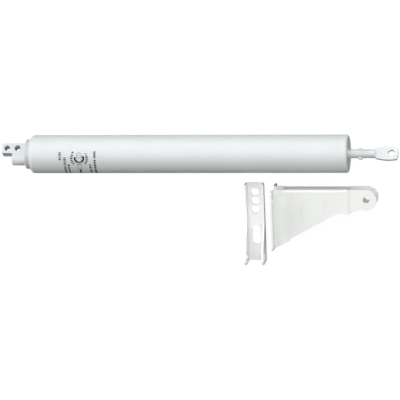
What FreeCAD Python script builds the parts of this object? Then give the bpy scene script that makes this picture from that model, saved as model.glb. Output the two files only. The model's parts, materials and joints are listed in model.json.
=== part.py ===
import FreeCAD, Part
import math
import os

import Sketcher

# Screen-door closer kit: a pneumatic cylinder with its rod drawn in, and its two loose brackets.
# Frame: +X along the cylinder towards the rod's eye, +Z up from the bench, the origin under the kit's middle.
# Lengths are millimetres and angles are degrees.

SIZES = {
    # layout on the bench
    "overall_length": 400.0,
    "closer_roll": 32.5,
    "stroke": 165.0,
    # cylinder tube
    "tube_radius": 19.05,
    "tube_wall": 1.2,
    "tube_start": -170.5,
    "tube_end": 150.5,
    "rear_roll_radius": 4.1,
    "front_roll_radius": 2.0,
    "front_opening_radius": 16.5,
    # end plug
    "plug_gap": 0.1,
    "collar_radius": 14.75,
    "collar_start": -175.3,
    "collar_rounding": 1.0,
    "collar_seam": -173.2,
    "collar_seam_width": 0.6,
    "collar_seam_depth": 0.6,
    "plug_shoulder": -166.0,
    "plug_shoulder_run": 2.4,
    "plug_chamfer": 0.7,
    "plug_face": -150.0,
    "tongue_length": 10.4,
    "tongue_thickness": 11.0,
    "tongue_top": 9.7,
    "tongue_bottom": -0.6,
    "boss_round_centre": -6.1,
    "boss_rounding": 1.5,
    "tongue_rounding": 0.6,
    "plug_hole_radius": 2.9,
    "plug_hole_height": 4.6,
    "outer_hole_inset": 5.4,
    "inner_hole_inset": 15.9,
    "seal_position": -159.0,
    "seal_groove_width": 2.8,
    "seal_groove_radius": 15.6,
    "seal_section": 1.1,
    "seal_clearance": 0.02,
    # speed screw
    "screw_radius": 3.0,
    "screw_clearance": 0.08,
    "screw_recess": 0.6,
    "screw_chamfer": 0.3,
    "screw_slot_width": 1.2,
    "screw_slot_depth": 1.5,
    "screw_neck_start": -176.0,
    "screw_neck_end": -173.6,
    "screw_neck_radius": 1.8,
    "screw_cone_start": -171.0,
    "screw_tip": -166.8,
    "screw_tip_radius": 0.4,
    "screw_bore_end": -166.0,
    "bleed_radius": 0.8,
    "screw_ring_section": 0.6,
    # rod
    "rod_radius": 4.37,
    "rod_start": -148.0,
    "rod_thread_radius": 3.0,
    "rod_thread_chamfer": 0.5,
    "thread_clearance": 0.05,
    "rod_shoulder": -125.8,
    "rod_flat_start": 177.0,
    "eye_start": 178.4,
    "eye_start_width": 10.6,
    "eye_middle": 187.5,
    "eye_width": 13.6,
    "eye_end_width": 12.4,
    "eye_thickness": 4.0,
    "eye_bulge": 1.1,
    "eye_hole_radius": 3.35,
    "eye_hole_inset": 6.6,
    "crimp_start": 159.4,
    "crimp_peak": 162.4,
    "crimp_end": 165.4,
    "crimp_span": 11.8,
    "crimp_root": 0.9,
    "crimp_thickness": 2.8,
    # piston group
    "nut_start": -147.0,
    "nut_length": 5.0,
    "nut_across_flats": 10.0,
    "lock_washer_thickness": 1.4,
    "lock_washer_radius": 5.4,
    "backing_washer_thickness": 1.8,
    "backing_washer_radius": 14.0,
    "cup_base_thickness": 1.8,
    "cup_lip_length": 7.0,
    "cup_lip_thickness": 1.2,
    "cup_lip_taper": 0.4,
    "cup_corner": 0.6,
    "cup_gap": 0.08,
    "piston_thickness": 6.0,
    "piston_gap": 0.55,
    "piston_hub_radius": 9.6,
    "piston_hub_length": 4.0,
    "rear_seat_thickness": 1.6,
    "rear_seat_radius": 15.0,
    "stop_washer_thickness": 1.2,
    "stop_washer_radius": 7.2,
    # return spring
    "spring_wire_radius": 1.25,
    "spring_mean_radius": 12.0,
    "spring_turns": 25.0,
    # front end
    "cap_thickness": 3.1,
    "cap_edge_gap": 0.8,
    "cap_hole_radius": 6.5,
    "bush_clearance": 0.07,
    "bush_start": 139.0,
    "bush_flange_radius": 9.0,
    "bush_flange_thickness": 1.5,
    "bush_end": 150.1,
    "wiper_radius": 5.5,
    "wiper_thickness": 1.6,
    "wiper_recess": 2.0,
    "front_seat_thickness": 1.6,
    "front_seat_radius": 15.5,
    # jamb bracket
    "jamb_centre_x": 52.1,
    "jamb_top_inset": 34.4,
    "jamb_length": 79.8,
    "jamb_width": 19.5,
    "jamb_sheet": 1.9,
    "jamb_bend_radius": 1.1,
    "jamb_flange_height": 9.6,
    "jamb_ear_height": 26.0,
    "jamb_flare_start": 38.0,
    "jamb_flare_end": 65.0,
    "jamb_ear_corner": 6.0,
    "jamb_top_corner": 3.0,
    "jamb_hole_radius": 4.1,
    "jamb_hole_inset": 9.2,
    "jamb_hole_pitch": 9.0,
    "jamb_slot_inset": 53.3,
    "jamb_slot_length": 20.3,
    "jamb_slot_radius": 4.2,
    "jamb_pin_inset": 7.9,
    "jamb_pin_height": 18.5,
    "jamb_pin_radius": 3.3,
    # door bracket
    "door_pin_x": 167.7,
    "door_pin_drop": 45.0,
    "door_pin_radius": 3.4,
    "door_ear_radius": 10.4,
    "door_ear_gap": 12.0,
    "door_sheet": 1.9,
    "door_joggle": 0.75,
    "door_joggle_length": 1.3,
    "door_body_end": 18.5,
    "door_reach": 95.0,
    "door_flange_width": 12.85,
    "door_flange_length": 59.5,
    "door_bend_radius": 2.6,
    "door_web_start": 84.0,
    "door_web_radius": 2.6,
    "door_slope_start_x": 32.6,
    "door_slope_start_y": 15.3,
    "door_slope_end_x": 77.5,
    "door_slope_end_y": 39.7,
    "door_step": 1.9,
    "door_step_run": 2.3,
    "door_step_drop": 3.0,
    "door_step_corner": 0.5,
    "door_flange_corner": 2.5,
    "door_ear_foot_angle": 240.0,
    "door_notch_end_x": 20.2,
    "door_notch_radius": 11.0,
    "door_hole_pitch": 41.6,
    "door_hole_inset": 6.6,
    "door_hole_radius": 3.4,
}
FAR = 60.0  # longer than any depth that a cut has to run through
OVERLAP = 1.0  # how far a joined feature runs into its base, and a cut past its edge
CLOSE = 0.01  # two places nearer than this are the same place


class Length:
    """A size and the sheet expression that gives it."""

    def __init__(self, value, text):
        self.value = value
        self.text = text

    def __add__(self, other):
        other = as_length(other)
        return Length(self.value + other.value, f"({self.text} + {other.text})")

    def __sub__(self, other):
        other = as_length(other)
        return Length(self.value - other.value, f"({self.text} - {other.text})")

    def __mul__(self, factor):
        return Length(self.value * factor, f"({self.text} * {factor})")

    def __truediv__(self, divisor):
        return Length(self.value / divisor, f"({self.text} / {divisor})")

    def __neg__(self):
        return Length(-self.value, f"(0 - {self.text})")


def as_length(value):
    return value if isinstance(value, Length) else Length(float(value), str(float(value)))


class Sizes:
    """Each cell of the sheet, by its alias."""


doc = FreeCAD.newDocument("door_closer")
sheet = doc.addObject("Spreadsheet::Sheet", "Sizes")
s = Sizes()
for row, (alias, number) in enumerate(SIZES.items(), start=1):
    sheet.set(f"A{row}", alias)
    sheet.set(f"B{row}", str(number))
    sheet.setAlias(f"B{row}", alias)
    setattr(s, alias, Length(number, f"Sizes.{alias}"))
doc.recompute()

# Derived sizes that several pieces share
kit_depth = s.tube_radius + s.jamb_top_inset + s.jamb_length
axis_y = kit_depth / 2 - s.tube_radius
bore_radius = s.tube_radius - s.tube_wall
tongue_start = -(s.overall_length / 2)
step_face = tongue_start + s.tongue_length
washer_start = s.nut_start + s.nut_length
backing_start = washer_start + s.lock_washer_thickness
cup_base_start = backing_start + s.backing_washer_thickness
piston_start = cup_base_start + s.cup_base_thickness
piston_end = piston_start + s.piston_thickness
spring_start = piston_end + s.rear_seat_thickness
cap_start = s.tube_end - s.tube_wall - s.cap_thickness
spring_end = cap_start - s.bush_flange_thickness - s.front_seat_thickness
door_inner = s.door_ear_gap / 2 + s.door_joggle
door_outer = door_inner + s.door_sheet
door_half_width = door_outer + s.door_flange_width

parts = {}


def bind(item, prop, length):
    """Sets one property of an object from the sheet."""
    length = as_length(length)
    item.setExpression(prop, length.text)


def new_body(name):
    body = doc.addObject("PartDesign::Body", name)
    body.Label = name
    parts[name] = body
    return body


def new_sketch(body, name, plane, offset=None):
    """A sketch on one of the body's own origin planes, moved along its normal by offset."""
    sketch = body.newObject("Sketcher::SketchObject", f"{body.Name}_{name}")
    origin_plane = next(f for f in body.Origin.OriginFeatures if f.Role == plane)
    sketch.AttachmentSupport = (origin_plane, [""])
    sketch.MapMode = "FlatFace"
    if offset is not None:
        bind(sketch, "AttachmentOffset.Base.z", offset)
    return sketch


def pin_point(sketch, edge, end, x, y):
    """Holds one end of an edge at x, y from the sketch's origin."""
    for kind, length in (("DistanceX", as_length(x)), ("DistanceY", as_length(y))):
        index = sketch.addConstraint(Sketcher.Constraint(kind, -1, 1, edge, end, length.value))
        sketch.setExpression(f"Constraints[{index}]", length.text)


def hold_radius(sketch, edge, radius):
    index = sketch.addConstraint(Sketcher.Constraint("Radius", edge, radius.value))
    sketch.setExpression(f"Constraints[{index}]", radius.text)


def arc_between(start, end, radius, turn):
    """The shorter arc from start to end: turn is +1 counter-clockwise and -1 clockwise."""
    chord = end - start
    rise = math.sqrt(max(radius**2 - chord.Length**2 / 4, 0.0))
    normal = FreeCAD.Vector(-chord.y, chord.x, 0).normalize()
    centre = (start + end) / 2 + normal * rise * turn
    angles = [math.atan2(p.y - centre.y, p.x - centre.x) for p in (start, end)]
    if turn < 0:
        angles.reverse()
    circle = Part.Circle(centre, FreeCAD.Vector(0, 0, 1), radius)
    return Part.ArcOfCircle(circle, *angles)


def draw(sketch, corners):
    """Draws a closed outline of corners: (x, y), or (x, y, radius, turn) where an arc leads to the next."""
    places = [FreeCAD.Vector(as_length(c[0]).value, as_length(c[1]).value, 0) for c in corners]
    ends = []
    for i, corner in enumerate(corners):
        start, end = places[i], places[(i + 1) % len(places)]
        if len(corner) == 2:
            edge = sketch.addGeometry(Part.LineSegment(start, end))
            ends.append((edge, 1, 2))
        else:
            radius, turn = as_length(corner[2]), corner[3]
            edge = sketch.addGeometry(arc_between(start, end, radius.value, turn))
            hold_radius(sketch, edge, radius)
            ends.append((edge, 1, 2) if turn > 0 else (edge, 2, 1))
    for i, (edge, first, last) in enumerate(ends):
        following, begin, _ = ends[(i + 1) % len(ends)]
        sketch.addConstraint(Sketcher.Constraint("Coincident", edge, last, following, begin))
        pin_point(sketch, edge, first, corners[i][0], corners[i][1])


def draw_circle(sketch, x, y, radius):
    x, y, radius = as_length(x), as_length(y), as_length(radius)
    middle = FreeCAD.Vector(x.value, y.value, 0)
    edge = sketch.addGeometry(Part.Circle(middle, FreeCAD.Vector(0, 0, 1), radius.value))
    pin_point(sketch, edge, 3, x, y)
    hold_radius(sketch, edge, radius)


def rectangle(x0, x1, y0, y1):
    return [(x0, y0), (x1, y0), (x1, y1), (x0, y1)]


def revolve(body, sketch, name):
    """Turns a sketch on the XY plane about the X axis."""
    turned = body.newObject("PartDesign::Revolution", f"{body.Name}_{name}")
    turned.Profile = sketch
    turned.ReferenceAxis = (sketch, ["H_Axis"])
    turned.Angle = 360


def turn_about_x(body, name, corners):
    """Turns an outline of (position along X, radius) about the X axis."""
    sketch = new_sketch(body, f"{name}_outline", "XY_Plane")
    draw(sketch, corners)
    revolve(body, sketch, name)


def pad(body, sketch, length, second=None, both_ways=False):
    """Extrudes a sketch along its normal, and by second the other way."""
    feature = body.newObject("PartDesign::Pad", f"{sketch.Name}_pad")
    feature.Profile = sketch
    bind(feature, "Length", length)
    if second is not None:
        feature.SideType = "Two sides"
        bind(feature, "Length2", second)
    if both_ways:
        feature.SideType = "Symmetric"
    return feature


def cut(body, kind, sketch, **settings):
    """Adds a cut with these settings, and checks that it took something away."""
    doc.recompute()
    before = body.Shape.Volume
    feature = body.newObject(kind, f"{sketch.Name}_cut")
    feature.Profile = sketch
    for prop, value in settings.items():
        setattr(feature, prop, value)
    doc.recompute()
    if not body.Shape.Volume < before:
        raise RuntimeError(f"{feature.Name} cuts nothing")


def cut_through(body, sketch, length=2 * FAR):
    """Cuts a sketch through the body, to half the length each way from the sketch's plane."""
    cut(body, "PartDesign::Pocket", sketch, SideType="Symmetric", Length=length)


def round_edges(body, name, radius, chosen):
    """Rounds the edges of the body's last shape for which chosen(edge) is true."""
    doc.recompute()
    base = body.Tip
    names = [f"Edge{i}" for i, edge in enumerate(base.Shape.Edges, start=1) if chosen(edge)]
    if not names:
        raise RuntimeError(f"{body.Name}: no edge to round for {name}")
    feature = body.newObject("PartDesign::Fillet", f"{body.Name}_{name}")
    feature.Base = (base, names)
    bind(feature, "Radius", radius)
    doc.recompute()


def on_closer_axis(item):
    """Puts a piece that was made about the X axis on the cylinder's axis, rolled with the closer."""
    roll = FreeCAD.Rotation(FreeCAD.Vector(1, 0, 0), -s.closer_roll.value)
    item.Placement = FreeCAD.Placement(FreeCAD.Vector(0, 0, 0), roll)
    bind(item, "Placement.Base.y", axis_y)
    bind(item, "Placement.Base.z", s.tube_radius)


def ring(name, start, end, inner, outer):
    """A plain round washer about the closer's axis."""
    body = new_body(name)
    turn_about_x(body, "ring", rectangle(start, end, inner, outer))
    on_closer_axis(body)


def o_ring(name, position, radius, section):
    """A rubber ring of round section about the X axis."""
    body = new_body(name)
    sketch = new_sketch(body, "section", "XY_Plane")
    draw_circle(sketch, position, radius, section)
    revolve(body, sketch, "ring")
    return body


# ---------------------------------------------------------------- cylinder tube


def make_cylinder_tube():
    """Painted steel tube, rolled in at both ends to hold the plug and the front cap."""
    body = new_body("cylinder_tube")
    rear_centre = s.tube_start + s.rear_roll_radius
    rear_inner = s.rear_roll_radius - s.tube_wall
    rear_opening = s.tube_radius - s.rear_roll_radius
    front_centre = s.tube_end - s.front_roll_radius
    front_inner = s.front_roll_radius - s.tube_wall
    front_corner = s.tube_radius - s.front_roll_radius
    lip = s.tube_end - s.tube_wall
    corners = [
        (s.tube_start, rear_opening, s.rear_roll_radius, -1),
        (rear_centre, s.tube_radius),
        (front_centre, s.tube_radius, s.front_roll_radius, -1),
        (s.tube_end, front_corner),
        (s.tube_end, s.front_opening_radius),
        (lip, s.front_opening_radius),
        (lip, front_corner, front_inner, 1),
        (front_centre, bore_radius),
        (rear_centre, bore_radius, rear_inner, 1),
        (rear_centre - rear_inner, rear_opening),
    ]
    turn_about_x(body, "wall", corners)
    on_closer_axis(body)


# ---------------------------------------------------------------- end plug and speed screw


def make_end_plug():
    """Zinc plug: seal groove inside the tube, scored collar, boss for the speed screw, and a drilled tongue."""
    body = new_body("end_plug")
    outer = bore_radius - s.plug_gap
    groove_start = s.seal_position - s.seal_groove_width / 2
    groove_end = s.seal_position + s.seal_groove_width / 2
    corners = [
        (s.collar_start, 0),
        (s.collar_start, s.collar_radius - s.collar_rounding, s.collar_rounding, -1),
        (s.collar_start + s.collar_rounding, s.collar_radius),
        (s.collar_seam - s.collar_seam_width / 2, s.collar_radius),
        (s.collar_seam, s.collar_radius - s.collar_seam_depth),
        (s.collar_seam + s.collar_seam_width / 2, s.collar_radius),
        (s.plug_shoulder - s.plug_shoulder_run, s.collar_radius),
        (s.plug_shoulder, outer - s.plug_chamfer),
        (s.plug_shoulder + s.plug_chamfer, outer),
        (groove_start, outer),
        (groove_start, s.seal_groove_radius),
        (groove_end, s.seal_groove_radius),
        (groove_end, outer),
        (s.plug_face - s.plug_chamfer, outer),
        (s.plug_face, outer - s.plug_chamfer),
        (s.plug_face, 0),
    ]
    turn_about_x(body, "core", corners)

    half = s.tongue_thickness / 2
    boss = new_sketch(body, "boss", "YZ_Plane", step_face)
    boss_corners = [
        (s.tongue_top, -half),
        (s.tongue_top, half),
        (s.boss_round_centre, half, half, 1),
        (s.boss_round_centre - half, 0, half, 1),
        (s.boss_round_centre, -half),
    ]
    draw(boss, boss_corners)
    pad(body, boss, s.collar_start - step_face + OVERLAP)

    tongue = new_sketch(body, "tongue", "YZ_Plane", tongue_start)
    draw(tongue, rectangle(s.tongue_bottom, s.tongue_top, -half, half))
    pad(body, tongue, s.tongue_length + OVERLAP)

    holes = new_sketch(body, "pin_holes", "XY_Plane")
    for inset in (s.outer_hole_inset, s.inner_hole_inset):
        draw_circle(holes, tongue_start + inset, s.plug_hole_height, s.plug_hole_radius)
    cut_through(body, holes)

    bore = s.screw_radius + s.screw_clearance
    screw_y = s.boss_round_centre
    mouth, outlet = step_face - OVERLAP, s.plug_face + OVERLAP
    passage = new_sketch(body, "screw_passage", "XY_Plane")
    passage_corners = [
        (mouth, screw_y),
        (mouth, screw_y + bore),
        (s.screw_bore_end, screw_y + bore),
        (s.screw_bore_end, screw_y + s.bleed_radius),
        (outlet, screw_y + s.bleed_radius),
        (outlet, screw_y),
    ]
    draw(passage, passage_corners)
    line_ends = [FreeCAD.Vector(x.value, screw_y.value, 0) for x in (tongue_start, s.plug_face)]
    screw_axis = passage.addGeometry(Part.LineSegment(*line_ends), True)
    pin_point(passage, screw_axis, 1, tongue_start, screw_y)
    pin_point(passage, screw_axis, 2, s.plug_face, screw_y)
    cut(body, "PartDesign::Groove", passage, ReferenceAxis=(passage, ["Axis0"]), Angle=360)

    def tongue_end_rim(edge):
        straight = edge.Curve.TypeId == "Part::GeomLine"
        return straight and edge.BoundBox.XMax < tongue_start.value + CLOSE

    def boss_end_rim(edge):
        """The boss's flanks and half-round on its outer face, without the screw's bore."""
        box = edge.BoundBox
        on_face = box.XLength < CLOSE and abs(box.XMax - step_face.value) < CLOSE
        full_circle = edge.Curve.TypeId == "Part::GeomCircle" and edge.isClosed()
        below_tongue = box.YMax < s.tongue_bottom.value + CLOSE
        across = abs(box.ZLength - s.tongue_thickness.value) < CLOSE
        return on_face and below_tongue and not full_circle and not across

    round_edges(body, "tongue_rim", s.tongue_rounding, tongue_end_rim)
    round_edges(body, "boss_rim", s.boss_rounding, boss_end_rim)
    on_closer_axis(body)


def make_plug_seal_ring():
    middle = (bore_radius + s.seal_groove_radius) / 2
    on_closer_axis(o_ring("plug_seal_ring", s.seal_position, middle, s.seal_section))


def on_screw_axis(item):
    """Puts a piece that was made about the X axis on the speed screw's axis, below the cylinder's axis."""
    roll = math.radians(s.closer_roll.value)
    on_closer_axis(item)
    bind(item, "Placement.Base.y", axis_y + s.boss_round_centre * math.cos(roll))
    bind(item, "Placement.Base.z", s.tube_radius - s.boss_round_centre * math.sin(roll))


def make_speed_screw():
    """Slotted needle screw that sets how fast the air leaves."""
    body = new_body("speed_screw")
    head = step_face + s.screw_recess
    corners = [
        (head, 0),
        (head, s.screw_radius - s.screw_chamfer),
        (head + s.screw_chamfer, s.screw_radius),
        (s.screw_neck_start, s.screw_radius),
        (s.screw_neck_start, s.screw_neck_radius),
        (s.screw_neck_end, s.screw_neck_radius),
        (s.screw_neck_end, s.screw_radius),
        (s.screw_cone_start, s.screw_radius),
        (s.screw_tip, s.screw_tip_radius),
        (s.screw_tip, 0),
    ]
    turn_about_x(body, "shank", corners)
    slot = new_sketch(body, "slot", "XY_Plane")
    half = s.screw_slot_width / 2
    draw(slot, rectangle(head - OVERLAP, head + s.screw_slot_depth, -half, half))
    cut_through(body, slot)
    on_screw_axis(body)


def make_speed_screw_seal():
    middle = (s.screw_neck_start + s.screw_neck_end) / 2
    radius = s.screw_neck_radius + s.screw_ring_section + s.seal_clearance
    on_screw_axis(o_ring("speed_screw_seal", middle, radius, s.screw_ring_section))


# ---------------------------------------------------------------- rod and piston


def make_piston_rod():
    """Steel rod: threaded tail for the piston, crimped ears, and a forged flat eye."""
    body = new_body("piston_rod")
    corners = [
        (s.rod_start, 0),
        (s.rod_start, s.rod_thread_radius - s.rod_thread_chamfer),
        (s.rod_start + s.rod_thread_chamfer, s.rod_thread_radius),
        (s.rod_shoulder, s.rod_thread_radius),
        (s.rod_shoulder, s.rod_radius),
        (s.rod_flat_start, s.rod_radius),
        (s.rod_flat_start, 0),
    ]
    turn_about_x(body, "shaft", corners)

    round_end = new_sketch(body, "neck_start", "YZ_Plane", s.rod_flat_start)
    draw_circle(round_end, 0, 0, s.rod_radius)
    flat_end = new_sketch(body, "neck_end", "YZ_Plane", s.eye_start)
    half_width, half_thick = s.eye_start_width / 2, s.eye_thickness / 2
    draw(flat_end, rectangle(-half_width, half_width, -half_thick, half_thick))
    neck = body.newObject("PartDesign::AdditiveLoft", "piston_rod_neck")
    neck.Profile = round_end
    neck.Sections = [flat_end]
    neck.Ruled = False

    end = s.overall_length / 2
    corner = end - s.eye_bulge
    end_half = s.eye_end_width / 2
    eye = new_sketch(body, "eye", "XY_Plane")
    flank = arc_radius((s.eye_start, half_width), (s.eye_middle, s.eye_width / 2), (corner, end_half))
    nose = arc_radius((corner, end_half), (end, as_length(0)), (corner, -end_half))
    eye_corners = [
        (s.eye_start, -half_width, flank, 1),
        (corner, -end_half, nose, 1),
        (corner, end_half, flank, 1),
        (s.eye_start, half_width),
    ]
    draw(eye, eye_corners)
    pad(body, eye, s.eye_thickness, both_ways=True)

    crimp = new_sketch(body, "crimp", "XY_Plane")
    half_span, foot = s.crimp_span / 2, s.rod_radius - s.crimp_root
    ear = arc_radius((s.crimp_start, foot), (s.crimp_peak, half_span), (s.crimp_end, foot))
    crimp_corners = [
        (s.crimp_start, -foot, ear, 1),
        (s.crimp_end, -foot),
        (s.crimp_end, foot, ear, 1),
        (s.crimp_start, foot),
    ]
    draw(crimp, crimp_corners)
    pad(body, crimp, s.crimp_thickness, both_ways=True)

    hole = new_sketch(body, "eye_hole", "XY_Plane")
    draw_circle(hole, end - s.eye_hole_inset, 0, s.eye_hole_radius)
    cut_through(body, hole)
    on_closer_axis(body)


def arc_radius(*points):
    """The radius of the circle through three points."""
    through = Part.Arc(*(FreeCAD.Vector(x.value, y.value, 0) for x, y in points))
    return through.toShape().Curve.Radius


def make_piston_group():
    """The stack that the nut clamps against the rod's shoulder."""
    thread = s.rod_thread_radius + s.thread_clearance
    nut = new_body("piston_nut")
    hexagon = new_sketch(nut, "hexagon", "YZ_Plane", s.nut_start)
    corner = s.nut_across_flats / math.sqrt(3)
    turns = [math.radians(60 * i) for i in range(6)]
    draw(hexagon, [(corner * math.cos(a), corner * math.sin(a)) for a in turns])
    draw_circle(hexagon, 0, 0, thread)
    pad(nut, hexagon, s.nut_length)
    on_closer_axis(nut)

    ring("piston_lock_washer", washer_start, backing_start, thread, s.lock_washer_radius)
    ring("piston_backing_washer", backing_start, cup_base_start, thread, s.backing_washer_radius)

    cup = new_body("piston_cup_seal")
    lip_outer = bore_radius - s.cup_gap
    lip_inner = lip_outer - s.cup_lip_thickness
    cup_corners = [
        (cup_base_start, thread),
        (cup_base_start, lip_inner),
        (piston_start - s.cup_lip_length, lip_inner + s.cup_lip_taper),
        (piston_start - s.cup_lip_length, lip_outer),
        (cup_base_start, lip_outer),
        (piston_start, lip_outer - s.cup_corner),
        (piston_start, thread),
    ]
    turn_about_x(cup, "cup", cup_corners)
    on_closer_axis(cup)

    head = new_body("piston_head")
    outer = bore_radius - s.piston_gap
    hub_end = piston_end + s.piston_hub_length
    head_corners = [
        (piston_start, thread),
        (piston_start, outer),
        (piston_end, outer),
        (piston_end, s.piston_hub_radius),
        (hub_end, s.piston_hub_radius),
        (hub_end, thread),
    ]
    turn_about_x(head, "head", head_corners)
    on_closer_axis(head)

    ring("rear_spring_seat", piston_end, spring_start, s.piston_hub_radius, s.rear_seat_radius)
    ring("piston_stop_washer", hub_end, hub_end + s.stop_washer_thickness, thread, s.stop_washer_radius)


def make_return_spring():
    """Compression spring between the piston and the front cap."""
    body = new_body("return_spring")
    sketch = new_sketch(body, "wire", "XY_Plane")
    draw_circle(sketch, spring_start + s.spring_wire_radius, s.spring_mean_radius, s.spring_wire_radius)
    rise = spring_end - spring_start - s.spring_wire_radius * 2
    coil = body.newObject("PartDesign::AdditiveHelix", "return_spring_coil")
    coil.Profile = sketch
    coil.ReferenceAxis = (sketch, ["H_Axis"])
    coil.Mode = "height-turns-angle"
    bind(coil, "Height", rise)
    bind(coil, "Turns", s.spring_turns)
    coil.Angle = 0
    on_closer_axis(body)


# ---------------------------------------------------------------- front end


def make_front_end():
    """Front cap with its bush and wiper, and the washer that the spring pushes on."""
    cap_end = cap_start + s.cap_thickness
    ring("front_cap", cap_start, cap_end, s.cap_hole_radius, bore_radius - s.cap_edge_gap)

    bush = new_body("rod_bush")
    inner = s.rod_radius + s.bush_clearance
    outer = s.cap_hole_radius
    wiper_seat = s.wiper_radius
    bush_corners = [
        (s.bush_start, inner),
        (s.bush_start, outer),
        (cap_start - s.bush_flange_thickness, outer),
        (cap_start - s.bush_flange_thickness, s.bush_flange_radius),
        (cap_start, s.bush_flange_radius),
        (cap_start, outer),
        (s.bush_end, outer),
        (s.bush_end, wiper_seat),
        (s.bush_end - s.wiper_recess, wiper_seat),
        (s.bush_end - s.wiper_recess, inner),
    ]
    turn_about_x(bush, "bush", bush_corners)
    on_closer_axis(bush)

    wiper_start = s.bush_end - s.wiper_recess
    ring("rod_wiper", wiper_start, wiper_start + s.wiper_thickness, inner, wiper_seat)
    seat_end = cap_start - s.bush_flange_thickness
    ring("front_spring_seat", spring_end, seat_end, outer, s.front_seat_radius)


# ---------------------------------------------------------------- jamb bracket


def make_jamb_bracket():
    """Steel channel on its back: three holes and a slot in the web, two ears with the pin hole.

    Its own frame: the web's top end is at Y = 0 and the bracket runs towards -Y."""
    body = new_body("jamb_bracket")
    half, sheet_t, bend = s.jamb_width / 2, s.jamb_sheet, s.jamb_bend_radius
    inner, outer_bend = half - sheet_t, bend + sheet_t
    section = new_sketch(body, "section", "XZ_Plane")
    section_corners = [
        (-half + outer_bend, 0),
        (half - outer_bend, 0, outer_bend, 1),
        (half, outer_bend),
        (half, s.jamb_ear_height),
        (inner, s.jamb_ear_height),
        (inner, outer_bend, bend, -1),
        (inner - bend, sheet_t),
        (-inner + bend, sheet_t, bend, -1),
        (-inner, outer_bend),
        (-inner, s.jamb_ear_height),
        (-half, s.jamb_ear_height),
        (-half, outer_bend, outer_bend, 1),
    ]
    draw(section, section_corners)
    pad(body, section, s.jamb_length)

    flange, ear = s.jamb_flange_height, s.jamb_ear_height
    top_round, ear_round = s.jamb_top_corner, s.jamb_ear_corner
    rim = new_sketch(body, "rim", "YZ_Plane")
    rim_corners = [
        (OVERLAP, flange - top_round),
        (0, flange - top_round, top_round, 1),
        (-top_round, flange),
        (-s.jamb_flare_start, flange),
        (-s.jamb_flare_end, ear),
        (-s.jamb_flare_end, ear + OVERLAP),
        (OVERLAP, ear + OVERLAP),
    ]
    draw(rim, rim_corners)
    cut_through(body, rim)
    corner_cut = new_sketch(body, "ear_corner", "YZ_Plane")
    corner_corners = [
        (-s.jamb_length, ear - ear_round, ear_round, -1),
        (-s.jamb_length + ear_round, ear),
        (-s.jamb_length + ear_round, ear + OVERLAP),
        (-s.jamb_length - OVERLAP, ear + OVERLAP),
        (-s.jamb_length - OVERLAP, ear - ear_round),
    ]
    draw(corner_cut, corner_corners)
    cut_through(body, corner_cut)

    holes = new_sketch(body, "web_holes", "XY_Plane")
    for i in range(3):
        draw_circle(holes, 0, -(s.jamb_hole_inset + s.jamb_hole_pitch * i), s.jamb_hole_radius)
    reach = s.jamb_slot_length / 2 - s.jamb_slot_radius
    slot_r, slot_y = s.jamb_slot_radius, s.jamb_slot_inset
    slot_corners = [
        (slot_r, -slot_y - reach),
        (slot_r, -slot_y + reach, slot_r, 1),
        (0, -slot_y + reach + slot_r, slot_r, 1),
        (-slot_r, -slot_y + reach),
        (-slot_r, -slot_y - reach, slot_r, 1),
        (0, -slot_y - reach - slot_r, slot_r, 1),
    ]
    draw(holes, slot_corners)
    cut_through(body, holes)
    pin = new_sketch(body, "pin_hole", "YZ_Plane")
    draw_circle(pin, -(s.jamb_length - s.jamb_pin_inset), s.jamb_pin_height, s.jamb_pin_radius)
    cut_through(body, pin)
    bind(body, "Placement.Base.x", s.jamb_centre_x)
    bind(body, "Placement.Base.y", axis_y - s.jamb_top_inset)


# ---------------------------------------------------------------- door bracket


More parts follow.
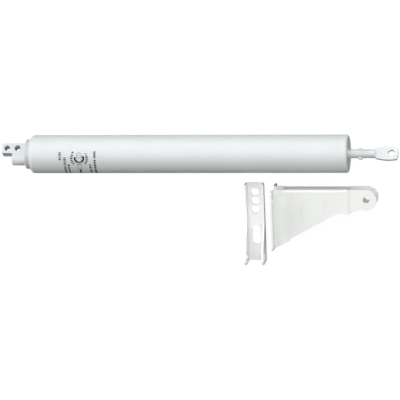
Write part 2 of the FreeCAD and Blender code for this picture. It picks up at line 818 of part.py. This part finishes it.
def make_door_bracket():
    """Folded steel bracket on its side: two plates, a web along the top, two flanges and the clevis ears.

    Its own frame: the pin's axis is Z, the flanges are at -X and the web is at +Y."""
    body = new_body("door_bracket")
    sheet_t, bend, reach = s.door_sheet, s.door_bend_radius, s.door_reach
    top = s.door_ear_radius
    bottom = s.door_flange_length - top
    ear_inner = s.door_ear_gap / 2
    joggle_end = -s.door_body_end + s.door_joggle_length
    plates = new_sketch(body, "plates", "XZ_Plane")
    for side in (1, -1):
        plate_corners = [
            (-reach, door_half_width * side),
            (-reach, (door_outer + bend) * side, bend + sheet_t, side),
            (-reach + sheet_t + bend, door_inner * side),
            (-s.door_body_end, door_inner * side),
            (joggle_end, ear_inner * side),
            (top, ear_inner * side),
            (top, (ear_inner + sheet_t) * side),
            (joggle_end, (ear_inner + sheet_t) * side),
            (-s.door_body_end, door_outer * side),
            (-reach + sheet_t + bend, door_outer * side, bend, -side),
            (-reach + sheet_t, (door_outer + bend) * side),
            (-reach + sheet_t, door_half_width * side),
        ]
        draw(plates, plate_corners)
    pad(body, plates, bottom, second=top)

    low, beyond = bottom + OVERLAP, top + OVERLAP
    step_top = -s.door_slope_end_y - s.door_step
    ear_foot = math.radians(s.door_ear_foot_angle.value)
    trim = new_sketch(body, "lower_edge", "XY_Plane")
    trim_corners = [
        (-reach - OVERLAP, -low),
        (-reach - OVERLAP, -bottom),
        (-reach + sheet_t, -bottom),
        (-s.door_slope_end_x - s.door_step_run, -s.door_slope_end_y - s.door_step_drop),
        (-s.door_slope_end_x - s.door_step_corner, step_top),
        (-s.door_slope_end_x, -s.door_slope_end_y),
        (-s.door_slope_start_x, -s.door_slope_start_y, s.door_notch_radius, -1),
        (-s.door_notch_end_x, -s.door_slope_start_y),
        (top * math.cos(ear_foot), top * math.sin(ear_foot), top, 1),
        (top, 0, top, 1),
        (0, top),
        (0, beyond),
        (beyond, beyond),
        (beyond, -low),
    ]
    draw(trim, trim_corners)
    cut_through(body, trim)

    rim = top - s.door_web_radius
    strip = new_sketch(body, "web_strip", "XY_Plane")
    draw(strip, rectangle(-s.door_web_start, -s.door_body_end, rim, beyond))
    cut_through(body, strip)
    inner_bend = s.door_web_radius - sheet_t
    arch = new_sketch(body, "web", "YZ_Plane", -s.door_web_start)
    arch_corners = [
        (rim - OVERLAP, door_outer),
        (rim - OVERLAP, door_inner),
        (rim, door_inner, inner_bend, -1),
        (rim + inner_bend, door_inner - inner_bend),
        (rim + inner_bend, -door_inner + inner_bend, inner_bend, -1),
        (rim, -door_inner),
        (rim - OVERLAP, -door_inner),
        (rim - OVERLAP, -door_outer),
        (rim, -door_outer, s.door_web_radius, 1),
        (top, -door_outer + s.door_web_radius),
        (top, door_outer - s.door_web_radius, s.door_web_radius, 1),
        (rim, door_outer),
    ]
    draw(arch, arch_corners)
    pad(body, arch, s.door_web_start - s.door_body_end)

    pin = new_sketch(body, "pin_hole", "XY_Plane")
    draw_circle(pin, 0, 0, s.door_pin_radius)
    cut_through(body, pin)

    middle = (top - bottom) / 2
    screws = new_sketch(body, "screw_holes", "YZ_Plane", -reach)
    for up in (1, -1):
        for side in (1, -1):
            hole_z = (door_half_width - s.door_hole_inset) * side
            draw_circle(screws, middle + s.door_hole_pitch / 2 * up, hole_z, s.door_hole_radius)
    cut_through(body, screws, 3 * sheet_t.value)

    def flange_corner(edge):
        box = edge.BoundBox
        along_x = abs(box.XLength - sheet_t.value) < CLOSE and box.YLength < CLOSE
        return along_x and box.ZLength < CLOSE and abs(abs(box.ZMax) - door_half_width.value) < CLOSE

    round_edges(body, "flange_corners", s.door_flange_corner, flange_corner)

    bind(body, "Placement.Base.x", s.door_pin_x)
    bind(body, "Placement.Base.y", axis_y - s.door_pin_drop)
    bind(body, "Placement.Base.z", door_half_width)


make_cylinder_tube()
make_end_plug()
make_plug_seal_ring()
make_speed_screw()
make_speed_screw_seal()
make_piston_rod()
make_piston_group()
make_return_spring()
make_front_end()
make_jamb_bracket()
make_door_bracket()
doc.recompute()

failed = [item.Name for item in doc.Objects if "Invalid" in item.State or "Error" in item.State]
failed += [name for name, item in parts.items() if item.Shape.isNull() or not item.Shape.isValid()]
if failed:
    raise RuntimeError(f"not built: {sorted(set(failed))}")

os.makedirs("parts", exist_ok=True)
for name, item in parts.items():
    item.Shape.exportStep(f"parts/{name}.step")
    box = item.Shape.BoundBox
    print(f"{name:24s} solids {len(item.Shape.Solids)} volume {item.Shape.Volume:10.1f}", end=" ")
    print(f"x {box.XMin:8.2f} {box.XMax:8.2f} y {box.YMin:8.2f} {box.YMax:8.2f}", end=" ")
    print(f"z {box.ZMin:7.2f} {box.ZMax:7.2f}")
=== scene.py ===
import json
import math
import random

import bpy
from mathutils import Matrix, Vector


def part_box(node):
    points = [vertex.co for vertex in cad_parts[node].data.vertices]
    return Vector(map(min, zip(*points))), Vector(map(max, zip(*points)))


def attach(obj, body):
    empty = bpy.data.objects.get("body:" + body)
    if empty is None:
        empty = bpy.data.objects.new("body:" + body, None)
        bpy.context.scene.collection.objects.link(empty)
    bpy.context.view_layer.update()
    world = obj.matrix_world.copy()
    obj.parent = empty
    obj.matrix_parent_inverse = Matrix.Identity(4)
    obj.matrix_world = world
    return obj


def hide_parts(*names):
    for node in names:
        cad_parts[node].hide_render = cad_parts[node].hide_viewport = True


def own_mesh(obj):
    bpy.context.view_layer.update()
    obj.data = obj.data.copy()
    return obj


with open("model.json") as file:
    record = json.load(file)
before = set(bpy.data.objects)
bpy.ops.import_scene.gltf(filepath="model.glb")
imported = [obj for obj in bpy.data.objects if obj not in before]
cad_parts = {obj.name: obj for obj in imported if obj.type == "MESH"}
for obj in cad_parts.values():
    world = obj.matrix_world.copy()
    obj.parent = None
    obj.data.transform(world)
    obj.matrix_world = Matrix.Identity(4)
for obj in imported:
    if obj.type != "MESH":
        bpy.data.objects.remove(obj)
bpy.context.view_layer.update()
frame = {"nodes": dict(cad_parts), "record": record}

# Screen-door closer kit: white enamelled cylinder with its rod, and its two loose brackets.
# Lengths are metres, +X runs along the cylinder towards the rod's eye, and +Z is up.

MM = 0.001

# ---------------------------------------------------------------- places read from the frame

tube_low, tube_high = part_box("cylinder_tube")
tube_radius = (tube_high.z - tube_low.z) / 2
tube_axis = Vector((0, (tube_low.y + tube_high.y) / 2, (tube_low.z + tube_high.z) / 2))
bracket_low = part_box("door_bracket")[0]
spring_low, spring_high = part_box("rear_spring_seat")[1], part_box("front_spring_seat")[0]

# ---------------------------------------------------------------- materials


def new_material(name):
    """A material with its node tree and its Principled shader."""
    made = bpy.data.materials.new(name)
    made.use_nodes = True
    return made, made.node_tree, made.node_tree.nodes["Principled BSDF"]


def add_node(tree, kind, inputs, **settings):
    """Adds a shader node. An input is a number, a colour or another node's output."""
    made = tree.nodes.new(f"ShaderNode{kind}")
    for prop, value in settings.items():
        setattr(made, prop, value)
    for key, value in inputs.items():
        if isinstance(value, bpy.types.NodeSocket):
            tree.links.new(value, made.inputs[key])
        else:
            made.inputs[key].default_value = value
    return made


def noise(tree, size, detail):
    """Noise from 0 to 1 whose patches measure about size metres, in the piece's own frame."""
    place = add_node(tree, "TexCoord", {}).outputs["Object"]
    inputs = {"Vector": place, "Scale": 1 / size, "Detail": detail}
    return add_node(tree, "TexNoise", inputs).outputs["Fac"]


def spread(tree, value, low, high):
    """Maps the middle of a noise's range to low..high."""
    limits = {"Value": value, "From Min": 0.3, "From Max": 0.7, "To Min": low, "To Max": high}
    return add_node(tree, "MapRange", limits).outputs["Result"]


# the Mix node's sockets when it mixes colours
MIX_FACTOR, MIX_FIRST, MIX_SECOND, MIX_RESULT = 0, 6, 7, 2


def blend_colours(tree, factor, first, second):
    """Mixes two colours by another node's output. A colour is three numbers or a node's output."""
    mix = tree.nodes.new("ShaderNodeMix")
    mix.data_type = "RGBA"
    tree.links.new(factor, mix.inputs[MIX_FACTOR])
    for index, value in ((MIX_FIRST, first), (MIX_SECOND, second)):
        if isinstance(value, bpy.types.NodeSocket):
            tree.links.new(value, mix.inputs[index])
        else:
            mix.inputs[index].default_value = (*value, 1)
    return mix.outputs[MIX_RESULT]


def relief(tree, layers, edge_radius=None):
    """A normal from bump layers of (height, depth in metres), over edges rounded to edge_radius."""
    normal = None
    if edge_radius:
        normal = add_node(tree, "Bevel", {"Radius": edge_radius}, samples=6).outputs[0]
    for height, depth in layers:
        inputs = {"Height": height, "Distance": depth, "Strength": 1.0}
        if normal:
            inputs["Normal"] = normal
        normal = add_node(tree, "Bump", inputs).outputs[0]
    return normal


# the sizes of the patches in enamel's tint, gloss and skin
CLOUD_SIZE = 28 * MM
SPECK_SIZE = 2.2 * MM
GLOSS_SIZE = 9 * MM
PEEL_SIZE = 1.3 * MM
GRIT_SIZE = 0.35 * MM
SPECK_SHARE = 0.18  # how far the darkest speck goes towards the shade
PEEL_DEPTH = 0.004 * MM
# the radii that edges look rounded to
ENAMEL_EDGE = 0.35 * MM
STEEL_EDGE = 0.15 * MM


def enamel(name, colour, shade, roughness, peel=PEEL_DEPTH):
    """Baked enamel: faint cloudy tint, an orange-peel skin, pinhead grit and softened edges."""
    made, tree, shader = new_material(name)
    cloud = noise(tree, CLOUD_SIZE, 3)
    grit = noise(tree, GRIT_SIZE, 1)
    tint = blend_colours(tree, spread(tree, cloud, 0, 1), colour, shade)
    specks = spread(tree, noise(tree, SPECK_SIZE, 4), 0, SPECK_SHARE)
    tree.links.new(blend_colours(tree, specks, tint, shade), shader.inputs["Base Color"])
    gloss = spread(tree, noise(tree, GLOSS_SIZE, 4), roughness - 0.05, roughness + 0.06)
    tree.links.new(gloss, shader.inputs["Roughness"])
    layers = [(noise(tree, PEEL_SIZE, 2), peel), (grit, peel / 3)]
    tree.links.new(relief(tree, layers, ENAMEL_EDGE), shader.inputs["Normal"])
    shader.inputs["Coat Weight"].default_value = 0.1
    shader.inputs["Coat Roughness"].default_value = 0.3
    return made


def plated_steel(name, colour, dark, roughness):
    """Zinc-plated or oiled steel: a mottled colour and a fine rough grain."""
    made, tree, shader = new_material(name)
    mottle = spread(tree, noise(tree, 3 * MM, 5), 0, 1)
    tree.links.new(blend_colours(tree, mottle, colour, dark), shader.inputs["Base Color"])
    grain = noise(tree, 0.25 * MM, 3)
    tree.links.new(spread(tree, grain, roughness - 0.1, roughness + 0.12), shader.inputs["Roughness"])
    tree.links.new(relief(tree, [(grain, 0.003 * MM)], STEEL_EDGE), shader.inputs["Normal"])
    shader.inputs["Metallic"].default_value = 1.0
    return made


def soft_matter(name, colour, shade, roughness, grain, depth):
    """Rubber, nylon, felt or ink: a matt body with its own grain."""
    made, tree, shader = new_material(name)
    cells = noise(tree, grain, 4)
    tree.links.new(blend_colours(tree, spread(tree, cells, 0, 1), colour, shade), shader.inputs["Base Color"])
    gloss = spread(tree, noise(tree, grain * 5, 2), roughness - 0.06, roughness + 0.06)
    tree.links.new(gloss, shader.inputs["Roughness"])
    tree.links.new(relief(tree, [(cells, depth)]), shader.inputs["Normal"])
    return made


# the size and the depth of each soft matter's grain
RUBBER = (0.5 * MM, 0.004 * MM)
NYLON = (1.5 * MM, 0.004 * MM)
FELT = (0.2 * MM, 0.05 * MM)
INK = (0.6 * MM, 0.001 * MM)


def ink(name, level):
    """Flat printing ink of one grey."""
    worn = level * 1.3
    made = soft_matter(name, (level, level, level), (worn, worn, worn), 0.7, *INK)
    made.node_tree.nodes["Principled BSDF"].inputs["Specular IOR Level"].default_value = 0.2
    return made


materials = {
    "tube_paint": enamel("tube_enamel", (0.595, 0.62, 0.625), (0.58, 0.60, 0.605), 0.5),
    "plug_paint": enamel("plug_enamel", (0.56, 0.585, 0.595), (0.525, 0.55, 0.56), 0.5, 2 * PEEL_DEPTH),
    "rod_paint": enamel("rod_enamel", (0.635, 0.655, 0.665), (0.605, 0.625, 0.635), 0.45),
    # painted light: the jamb bracket's white is set far brighter than the tube's same enamel, standing in for
    # the stronger light it got and offsetting the tube's shadow that falls on it
    "jamb_paint": enamel("jamb_enamel_painted_light", (0.97, 0.985, 0.98), (0.955, 0.97, 0.965), 0.5),
    "door_paint": enamel("door_enamel", (0.77, 0.785, 0.77), (0.75, 0.76, 0.735), 0.5),
    "zinc_steel": plated_steel("zinc_plate", (0.66, 0.67, 0.68), (0.52, 0.54, 0.56), 0.34),
    "spring_steel": plated_steel("oiled_spring_wire", (0.30, 0.30, 0.31), (0.20, 0.20, 0.21), 0.30),
    "black_rubber": soft_matter("nitrile_rubber", (0.025, 0.025, 0.027), (0.045, 0.045, 0.045), 0.6, *RUBBER),
    "nylon": soft_matter("natural_nylon", (0.78, 0.77, 0.70), (0.72, 0.70, 0.62), 0.45, *NYLON),
    "felt": soft_matter("oiled_felt", (0.20, 0.19, 0.17), (0.32, 0.30, 0.27), 0.9, *FELT),
}
black_ink = ink("black_ink", 0.006)
dark_ink = ink("dark_ink", 0.018)
grey_ink = ink("grey_ink", 0.11)
pale_ink = ink("pale_grey_ink", 0.22)


def paint_cad_nodes():
    """Gives every CAD node the material of the slot that the record names for it."""
    slots = {row["node"]: row["material_slot"] for row in frame["record"]["subparts"]}
    for name, obj in frame["nodes"].items():
        obj.data.materials.clear()
        obj.data.materials.append(materials[slots[name]])


# ---------------------------------------------------------------- mesh helpers


def add_piece(name, vertices, faces, material, body, smooth=False):
    """A mesh in the row frame that rides on a CAD body."""
    mesh = bpy.data.meshes.new(name)
    mesh.from_pydata([tuple(v) for v in vertices], [], faces)
    mesh.validate()
    mesh.materials.append(material)
    mesh.polygons.foreach_set("use_smooth", [smooth] * len(mesh.polygons))
    obj = bpy.data.objects.new(name, mesh)
    bpy.context.scene.collection.objects.link(obj)
    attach(obj, body)
    return obj


# ---------------------------------------------------------------- printed marks on the tube

# The printing is laid out flat: p runs along the tube towards the rod, and q round it towards the brackets.
# Its middle is on the tube's top line.
PRINT_X = 51.7 * MM  # from the tube's rear end
INK_HEIGHT = 0.03 * MM
INK_ROOT = 0.08 * MM  # how far the ink's underside reaches into the paint
BAR_STEP = 0.8 * MM  # a bar's longest straight stretch round the tube
BAND_STEP = 8  # a band's longest straight stretch, in degrees

# the turning arrow: its middle's p and q, and its radius
ARROW_RING = (0, -0.4 * MM, 4.4 * MM)
ARROW_WIDTH, ARROW_START, ARROW_END = 1.9 * MM, -14, 196
HEAD_WIDTH, HEAD_LENGTH, HEAD_START = 3.2 * MM, 2.2 * MM, -12

# the screw's head seen end on: its middle's p and q, its radius and its line's width
SCREW_HEAD = (0, -3.4 * MM, 2.6 * MM, 0.6 * MM)

# print along a ring: its radius, its height, the share of it that is inked, and each stretch's start, end and
# pitch in degrees
CURVED_RADIUS, CURVED_HEIGHT, CURVED_FILL = 7.9 * MM, 2.4 * MM, 0.62
CURVED_STRETCHES = ((212, 130, -16), (-24, 52, 16))

# bars, in mm: p from and to, q from and to
DRIVER_BLADE = (-0.7, 0.9, 13.6, 21)
PLUS_AND_MINUS = (
    (-7.6, -5.4, -6.6, -5.8),
    (-6.9, -6.1, -7.3, -5.1),
    (5.6, 7.8, -5.3, -4.5),
)
SCREW_SLOT_AND_SHANK = (
    (-1.6, 1.6, -3.7, -3.1),
    (-2.5, -2.0, -2.0, 2.6),
    (2.0, 2.5, -2.0, 2.6),
)
DRIVER_FERRULE_AND_SHANK = (
    (-2.6, 2.2, 5.9, 6.8),
    (-2.2, -1.6, 6.8, 13.4),
    (1.4, 2.0, 6.8, 13.4),
    (-1.6, 1.4, 12.2, 13.4),
)

# straight lines of print, in mm: p from and to, q from and to, and pitch. Last, the share that is inked.
DARK_PRINT = (
    (-20.9, -18.3, -6.3, 1.8, 1.9, 0.62),
    (-12.0, -10.0, 6.3, 22, 2.2, 0.66),
    (9.8, 11.8, 6.3, 22, 2.2, 0.66),
    (14.6, 16.8, -7.3, -0.4, 1.5, 0.74),
    (14.6, 16.8, 1.2, 22, 2.2, 0.68),
)
FAINT_PRINT = (
    (-16.0, -13.4, -1.3, 7.4, 2.0, 0.7),
    (-16.0, -13.4, 8.6, 22, 2.4, 0.72),
)


def on_tube(p, q, height):
    """The point of the tube's surface at p, q on the flat layout."""
    angle = q / tube_radius
    radius = tube_radius + height
    out = Vector((0, -math.sin(angle), math.cos(angle)))
    return tube_axis + Vector((tube_low.x + PRINT_X + p, 0, 0)) + out * radius


def metres(lengths):
    """The same lengths, from mm."""
    return [length * MM for length in lengths]


def bar(p0, p1, q0, q1):
    """A straight-sided mark as pairs of points across it."""
    count = max(1, math.ceil((q1 - q0) / BAR_STEP))
    rows = [q0 + (q1 - q0) * i / count for i in range(count + 1)]
    return [((p0, q), (p1, q)) for q in rows]


def band(p, q, radius, width, start, end):
    """Part of a ring round p, q, from start to end in degrees, 0 being towards +p and 90 towards +q."""
    count = max(2, math.ceil(abs(end - start) / BAND_STEP))
    angles = [math.radians(start + (end - start) * i / count) for i in range(count + 1)]
    edges = (radius - width / 2, radius + width / 2)
    return [tuple((p + r * math.cos(a), q + r * math.sin(a)) for r in edges) for a in angles]


def arrow_head(p, q, radius, width, length, at, turn):
    """A triangle on a ring, from its base at an angle to its point, turn being +1 or -1."""
    base, point = math.radians(at), math.radians(at + math.degrees(length / radius) * turn)
    inner, outer = radius - width / 2, radius + width / 2
    first = tuple((p + r * math.cos(base), q + r * math.sin(base)) for r in (inner, outer))
    tip = (p + radius * math.cos(point), q + radius * math.sin(point))
    return [first, (tip, tip)]


def dashes(p0, p1, q0, q1, pitch, fill, rng):
    """Lines of print stood in for by blocks of uneven length, with no lettering."""
    marks, q = [], q0
    while q < q1:
        length = pitch * rng.uniform(0.6, 1.3)
        marks.append(bar(p0, p1, q, min(q + length * fill, q1)))
        q += length
    return marks


def curved_dashes(radius, width, start, end, pitch, fill, rng):
    """The same blocks along a ring round the middle of the print."""
    marks, angle = [], start
    while abs(angle - start) < abs(end - start):
        span = pitch * rng.uniform(0.7, 1.2)
        marks.append(band(0, 0, radius, width, angle, angle + span * fill))
        angle += span
    return marks


def print_marks(name, marks, material):
    """Builds marks as thin closed slabs of ink on the tube."""
    vertices, faces = [], []
    for mark in marks:
        first = len(vertices)
        for left, right in mark:
            vertices += [on_tube(*left, INK_HEIGHT), on_tube(*right, INK_HEIGHT)]
            vertices += [on_tube(*right, -INK_ROOT), on_tube(*left, -INK_ROOT)]
        for i in range(len(mark) - 1):
            a, b = first + 4 * i, first + 4 * (i + 1)
            faces += [(a + k, a + (k + 1) % 4, b + (k + 1) % 4, b + k) for k in range(4)]
        last = first + 4 * (len(mark) - 1)
        faces += [(first + 3, first + 2, first + 1, first), (last, last + 1, last + 2, last + 3)]
    add_piece(name, vertices, faces, material, "closer")


def print_instructions():
    """The adjusting guide: a turning arrow, plus and minus, a screw head, a driver, and blocks for print."""
    rng = random.Random(7)
    black = [
        band(*ARROW_RING, ARROW_WIDTH, ARROW_START, ARROW_END),
        arrow_head(*ARROW_RING, HEAD_WIDTH, HEAD_LENGTH, HEAD_START, -1),
        bar(*metres(DRIVER_BLADE)),
    ]

    dark = [bar(*metres(place)) for place in PLUS_AND_MINUS]
    for start, end, pitch in CURVED_STRETCHES:
        dark += curved_dashes(CURVED_RADIUS, CURVED_HEIGHT, start, end, pitch, CURVED_FILL, rng)
    for *place, fill in DARK_PRINT:
        dark += dashes(*metres(place), fill, rng)
    grey = []
    for *place, fill in FAINT_PRINT:
        grey += dashes(*metres(place), fill, rng)

    screw = [band(*SCREW_HEAD, 0, 360)]
    screw += [bar(*metres(place)) for place in SCREW_SLOT_AND_SHANK + DRIVER_FERRULE_AND_SHANK]

    print_marks("instruction_arrow", black, black_ink)
    print_marks("instruction_lines", dark, dark_ink)
    print_marks("instruction_faint_lines", grey, grey_ink)
    print_marks("instruction_screw_icon", screw, pale_ink)


# ---------------------------------------------------------------- raised marks on the door bracket

PLATE_FACE = 30.15 * MM  # height of the upper plate's outer face
BEAD_WIDTH = 0.8 * MM
BEAD_HEIGHT = 0.3 * MM
BEAD_SIDES = 10
CORNER_STEPS = 6  # straight stretches in each rounded corner

# x and y of each mark's middle, from the bracket's low corner, and the radius of its corners
ARROW_PLACE, ARROW_CORNER = (30.7 * MM, 35.7 * MM), 0.7 * MM
FRAME_PLACE, FRAME_CORNER = (53.2 * MM, 41.8 * MM), 1.5 * MM


def rounded_path(corners, radius):
    """A closed path through corners, with each corner rounded."""
    points, count = [], len(corners)
    for i, corner in enumerate(corners):
        here = Vector(corner)
        before = (Vector(corners[i - 1]) - here).normalized()
        after = (Vector(corners[(i + 1) % count]) - here).normalized()
        for k in range(CORNER_STEPS + 1):
            share = k / CORNER_STEPS
            start, end = here + before * radius, here + after * radius
            points.append(start.lerp(here, share).lerp(here.lerp(end, share), share))
    return points


def raised_bead(name, path):
    """A low rounded bead pressed up from the plate along a closed path, sunk by half into the sheet."""
    vertices, faces, count, sides = [], [], len(path), BEAD_SIDES
    for i, point in enumerate(path):
        along = (path[(i + 1) % count] - path[i - 1]).normalized()
        across = Vector((-along.y, along.x))
        for k in range(sides):
            angle = 2 * math.pi * k / sides
            flat = point + across * (BEAD_WIDTH / 2 * math.cos(angle))
            vertices.append((flat.x, flat.y, PLATE_FACE + BEAD_HEIGHT * math.sin(angle)))
    for i in range(count):
        a, b = i * sides, (i + 1) % count * sides
        faces += [(a + k, a + (k + 1) % sides, b + (k + 1) % sides, b + k) for k in range(sides)]
    add_piece(name, vertices, faces, materials["door_paint"], "door_bracket", smooth=True)


def on_plate(place):
    """The row frame's x and y of a place on the bracket's plate."""
    return bracket_low.x + place[0], bracket_low.y + place[1]


def raise_marks():
    """Two plain pressed marks: an arrow that points up the plate, and a long rounded frame."""
    x, y = on_plate(ARROW_PLACE)
    half_shaft, half_head, neck, end = 1.2 * MM, 3.0 * MM, 4.0 * MM, 10.0 * MM
    arrow = [
        (x - half_shaft, y - end),
        (x - half_shaft, y + neck),
        (x - half_head, y + neck),
        (x, y + end),
        (x + half_head, y + neck),
        (x + half_shaft, y + neck),
        (x + half_shaft, y - end),
    ]
    raised_bead("pressed_arrow", rounded_path(arrow, ARROW_CORNER))

    x, y = on_plate(FRAME_PLACE)
    half_width, half_length = 2.1 * MM, 8.2 * MM
    ring = [
        (x - half_width, y - half_length),
        (x - half_width, y + half_length),
        (x + half_width, y + half_length),
        (x + half_width, y - half_length),
    ]
    raised_bead("pressed_frame", rounded_path(ring, FRAME_CORNER))


# ---------------------------------------------------------------- return spring

WIRE_RADIUS = 1.25 * MM
COIL_RADIUS = 12 * MM
CLOSED_TURNS = 1.25  # dead turns at each end, lying against each other
OPEN_TURNS = 23
WIRE_SIDES = 10
STEPS_PER_TURN = 28


def spring_advance(turn):
    """How far along the spring its wire is after this many turns."""
    total = OPEN_TURNS + 2 * CLOSED_TURNS
    length = spring_high.x - spring_low.x - 2 * WIRE_RADIUS
    dead_rise = 2 * WIRE_RADIUS * CLOSED_TURNS
    open_pitch = (length - 2 * dead_rise) / OPEN_TURNS
    if turn < CLOSED_TURNS:
        return turn * 2 * WIRE_RADIUS
    if turn > total - CLOSED_TURNS:
        return length - (total - turn) * 2 * WIRE_RADIUS
    return dead_rise + (turn - CLOSED_TURNS) * open_pitch


def make_spring():
    """Round wire wound about the rod, with closed ends."""
    steps = round((OPEN_TURNS + 2 * CLOSED_TURNS) * STEPS_PER_TURN)
    vertices, faces, sides = [], [], WIRE_SIDES
    for i in range(steps + 1):
        turn = i / STEPS_PER_TURN
        angle = 2 * math.pi * turn
        out = Vector((0, math.cos(angle), math.sin(angle)))
        along = spring_low.x + WIRE_RADIUS + spring_advance(turn)
        middle = tube_axis + Vector((along, 0, 0)) + out * COIL_RADIUS
        for k in range(sides):
            around = 2 * math.pi * k / sides
            offset = Vector((math.cos(around), 0, 0)) + out * math.sin(around)
            vertices.append(middle + offset * WIRE_RADIUS)
    for i in range(steps):
        a, b = i * sides, (i + 1) * sides
        faces += [(a + k, b + k, b + (k + 1) % sides, a + (k + 1) % sides) for k in range(sides)]
    faces += [tuple(range(sides)), tuple(reversed(range(steps * sides, (steps + 1) * sides)))]
    steel = materials["spring_steel"]
    wire = add_piece("wound_return_spring", vertices, faces, steel, "closer", smooth=True)
    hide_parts("return_spring")
    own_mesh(wire)


# ---------------------------------------------------------------- camera, lights and floor

CAMERA_RIGHT = math.radians(9)  # the camera stands this far towards +X of straight above
CAMERA_BACK = math.radians(14.5)  # and this far towards +Y
CAMERA_DISTANCE = 5.56
CAMERA_LENS = 500  # long, because the view is almost without perspective
CAMERA_SENSOR = 36
CAMERA_RANGE = (0.1, 30)
TARGET = (-1.2 * MM, 0.05 * MM, 19.05 * MM)  # what the camera looks at


def place_camera():
    side, back = CAMERA_RIGHT, CAMERA_BACK
    towards = Vector((math.sin(side), math.cos(side) * math.sin(back), math.cos(side) * math.cos(back)))
    up = Vector((0, math.cos(back), -math.sin(back)))
    right = up.cross(towards).normalized()
    turn = Matrix((right, up, towards)).transposed().to_4x4()
    data = bpy.data.cameras.new("camera")
    data.lens = CAMERA_LENS
    data.sensor_width = CAMERA_SENSOR
    data.clip_start, data.clip_end = CAMERA_RANGE
    obj = bpy.data.objects.new("camera", data)
    bpy.context.scene.collection.objects.link(obj)
    obj.matrix_world = Matrix.Translation(Vector(TARGET) + towards * CAMERA_DISTANCE) @ turn
    bpy.context.scene.camera = obj


def from_behind(tilt):
    """The direction that lies this many degrees from straight up towards +Y."""
    return (0.0, math.sin(math.radians(tilt)), math.cos(math.radians(tilt)))


# wide soft sources, far away: the direction each lies in, its strength, and its width in degrees
SUNS = {
    "key_softbox": (from_behind(44), 1.3, 60),
    "rear_softbox": (from_behind(86), 1.25, 40),
    "top_softbox": (from_behind(5), 0.95, 60),
    "left_fill": ((-0.95, 0.2, 0.22), 3.0, 50),
    "right_fill": ((0.88, 0.2, 0.42), 1.3, 60),
}
SURROUND_LIGHT = 0.1  # even light from all sides
SURROUND_WHITE = 1.0  # the background, as the camera sees it
FLOOR_WHITE = 0.94  # the floor's own light, as the camera sees it
FLOOR_SHADE = 0.1  # what the floor adds where it's lit, so that contact shadows show
FLOOR_GREY = 0.2  # the floor, as the object sees it
FLOOR_HALF = 4.0


def add_sun(name, towards, strength, softness):
    """A soft source that lies in the direction towards."""
    data = bpy.data.lights.new(name, "SUN")
    data.energy = strength
    data.angle = math.radians(softness)
    obj = bpy.data.objects.new(name, data)
    obj.rotation_mode = "QUATERNION"
    obj.rotation_quaternion = Vector(towards).to_track_quat("Z", "Y")
    bpy.context.scene.collection.objects.link(obj)


def white(tree, level):
    """A shader that gives out plain white."""
    return add_node(tree, "Emission", {"Color": (1, 1, 1, 1), "Strength": level}).outputs[0]


def show_to_camera(tree, seen, plain, output):
    """Sends one shader to the camera in place of the plain one, which still lights the scene."""
    path = add_node(tree, "LightPath", {})
    mix = tree.nodes.new("ShaderNodeMixShader")
    tree.links.new(path.outputs["Is Camera Ray"], mix.inputs[0])
    tree.links.new(plain, mix.inputs[1])
    tree.links.new(seen, mix.inputs[2])
    tree.links.new(mix.outputs[0], output)


def light_studio():
    """The soft sources and a white surround."""
    for name, settings in SUNS.items():
        add_sun(name, *settings)
    world = bpy.data.worlds.new("studio")
    bpy.context.scene.world = world
    world.use_nodes = True
    tree = world.node_tree
    surround = tree.nodes["Background"]
    surround.inputs["Color"].default_value = (1.0, 1.0, 1.0, 1)
    surround.inputs["Strength"].default_value = SURROUND_LIGHT
    output = tree.nodes["World Output"].inputs["Surface"]
    show_to_camera(tree, white(tree, SURROUND_WHITE), surround.outputs[0], output)


def lay_floor():
    """A plain pale floor, bright to the camera and dull to the object, so that undersides stay shaded."""
    mesh = bpy.data.meshes.new("floor")
    corners = [(x * FLOOR_HALF, y * FLOOR_HALF, 0) for x, y in ((-1, -1), (1, -1), (1, 1), (-1, 1))]
    mesh.from_pydata(corners, [], [(0, 1, 2, 3)])
    made, tree, shader = new_material("pale_floor")
    shader.inputs["Base Color"].default_value = (FLOOR_GREY, FLOOR_GREY, FLOOR_GREY, 1)
    shader.inputs["Roughness"].default_value = 0.9
    shader.inputs["Specular IOR Level"].default_value = 0.0
    lit = add_node(tree, "BsdfDiffuse", {"Color": (FLOOR_SHADE, FLOOR_SHADE, FLOOR_SHADE, 1)})
    seen = tree.nodes.new("ShaderNodeAddShader")
    tree.links.new(white(tree, FLOOR_WHITE), seen.inputs[0])
    tree.links.new(lit.outputs[0], seen.inputs[1])
    output = tree.nodes["Material Output"].inputs["Surface"]
    show_to_camera(tree, seen.outputs[0], shader.outputs[0], output)
    mesh.materials.append(made)
    floor = bpy.data.objects.new("floor", mesh)
    bpy.context.scene.collection.objects.link(floor)


paint_cad_nodes()
print_instructions()
raise_marks()
make_spring()
light_studio()
lay_floor()
place_camera()
bpy.context.scene.view_settings.view_transform = "Standard"
